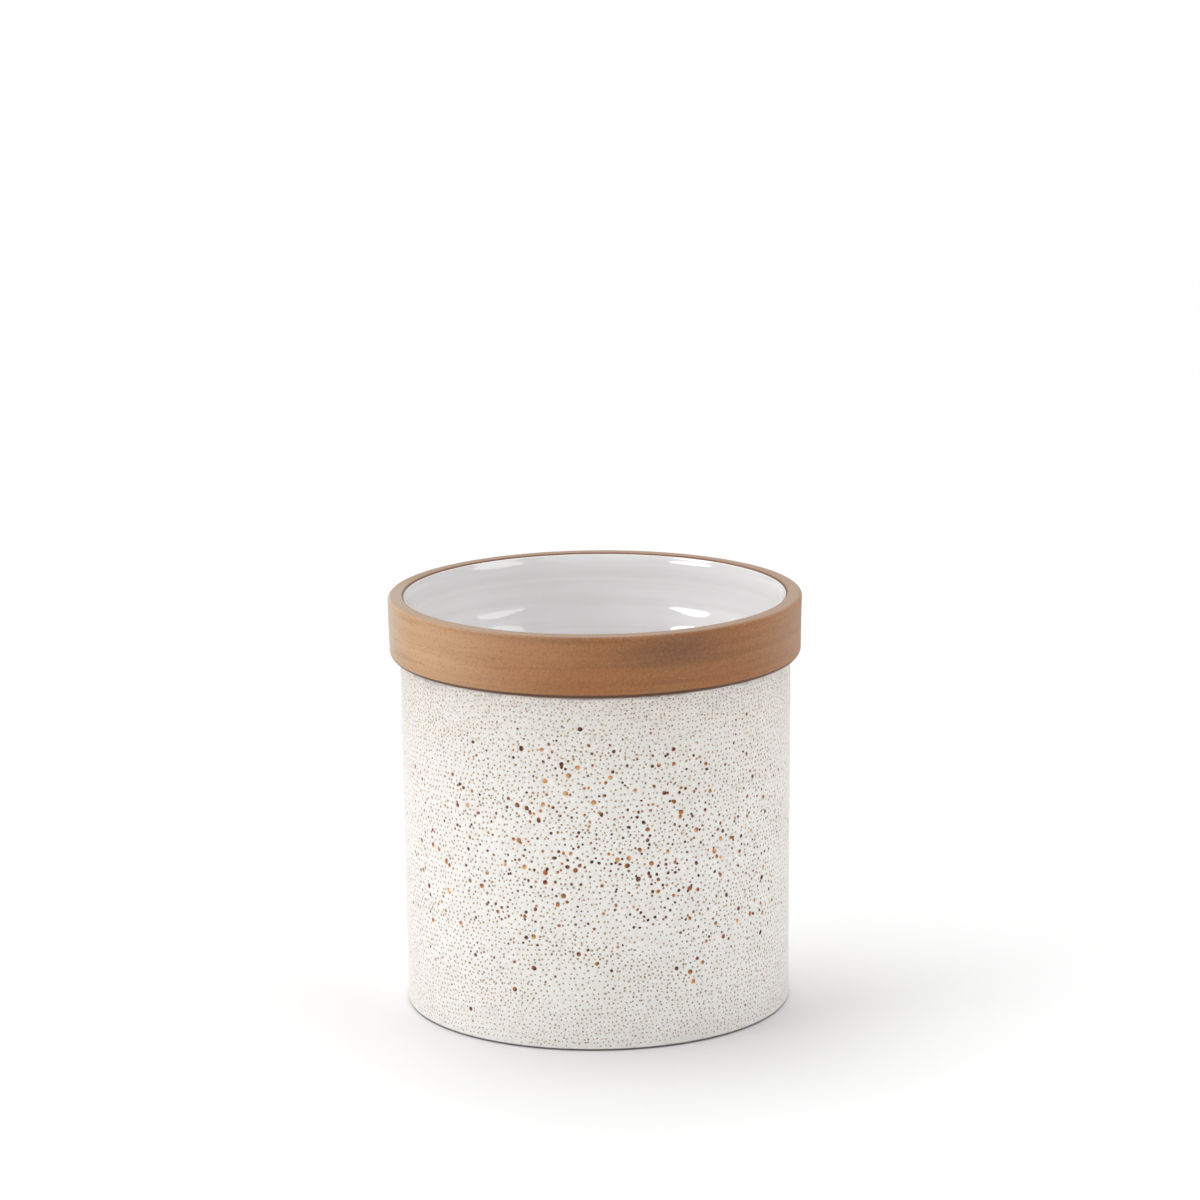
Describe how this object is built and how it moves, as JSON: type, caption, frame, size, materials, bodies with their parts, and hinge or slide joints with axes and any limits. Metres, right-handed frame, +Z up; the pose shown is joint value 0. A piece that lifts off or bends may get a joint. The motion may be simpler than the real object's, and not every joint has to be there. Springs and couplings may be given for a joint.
{
  "type": "butter crock",
  "caption": "Straight-sided open stoneware crock with a bare-clay band round the mouth, a white crater glaze outside and a glossy white glaze inside.",
  "frame": {"origin": "middle of the foot, on the surface the crock stands on", "axes": "+Z up along the axis the crock was turned about; it is round, so +X and +Y are any two level directions"},
  "size_m": [0.13, 0.13, 0.131],
  "materials": {
    "foot_clay": "bare stoneware clay, dry and matt, with fine sand",
    "band_clay": "bare toasted stoneware clay, dry and matt, with faint streaks round the band and fine sand",
    "crater_glaze": "thick satin-matt white glaze covered in fine pinholes with a scatter of larger brown craters",
    "liner_glaze": "glossy white glaze over faint throwing rings"
  },
  "bodies": {
    "root": {"crock_body": "foot_clay", "rim_band": "band_clay", "outer_glaze": "crater_glaze", "inner_glaze": "liner_glaze"}
  },
  "joints": []
}
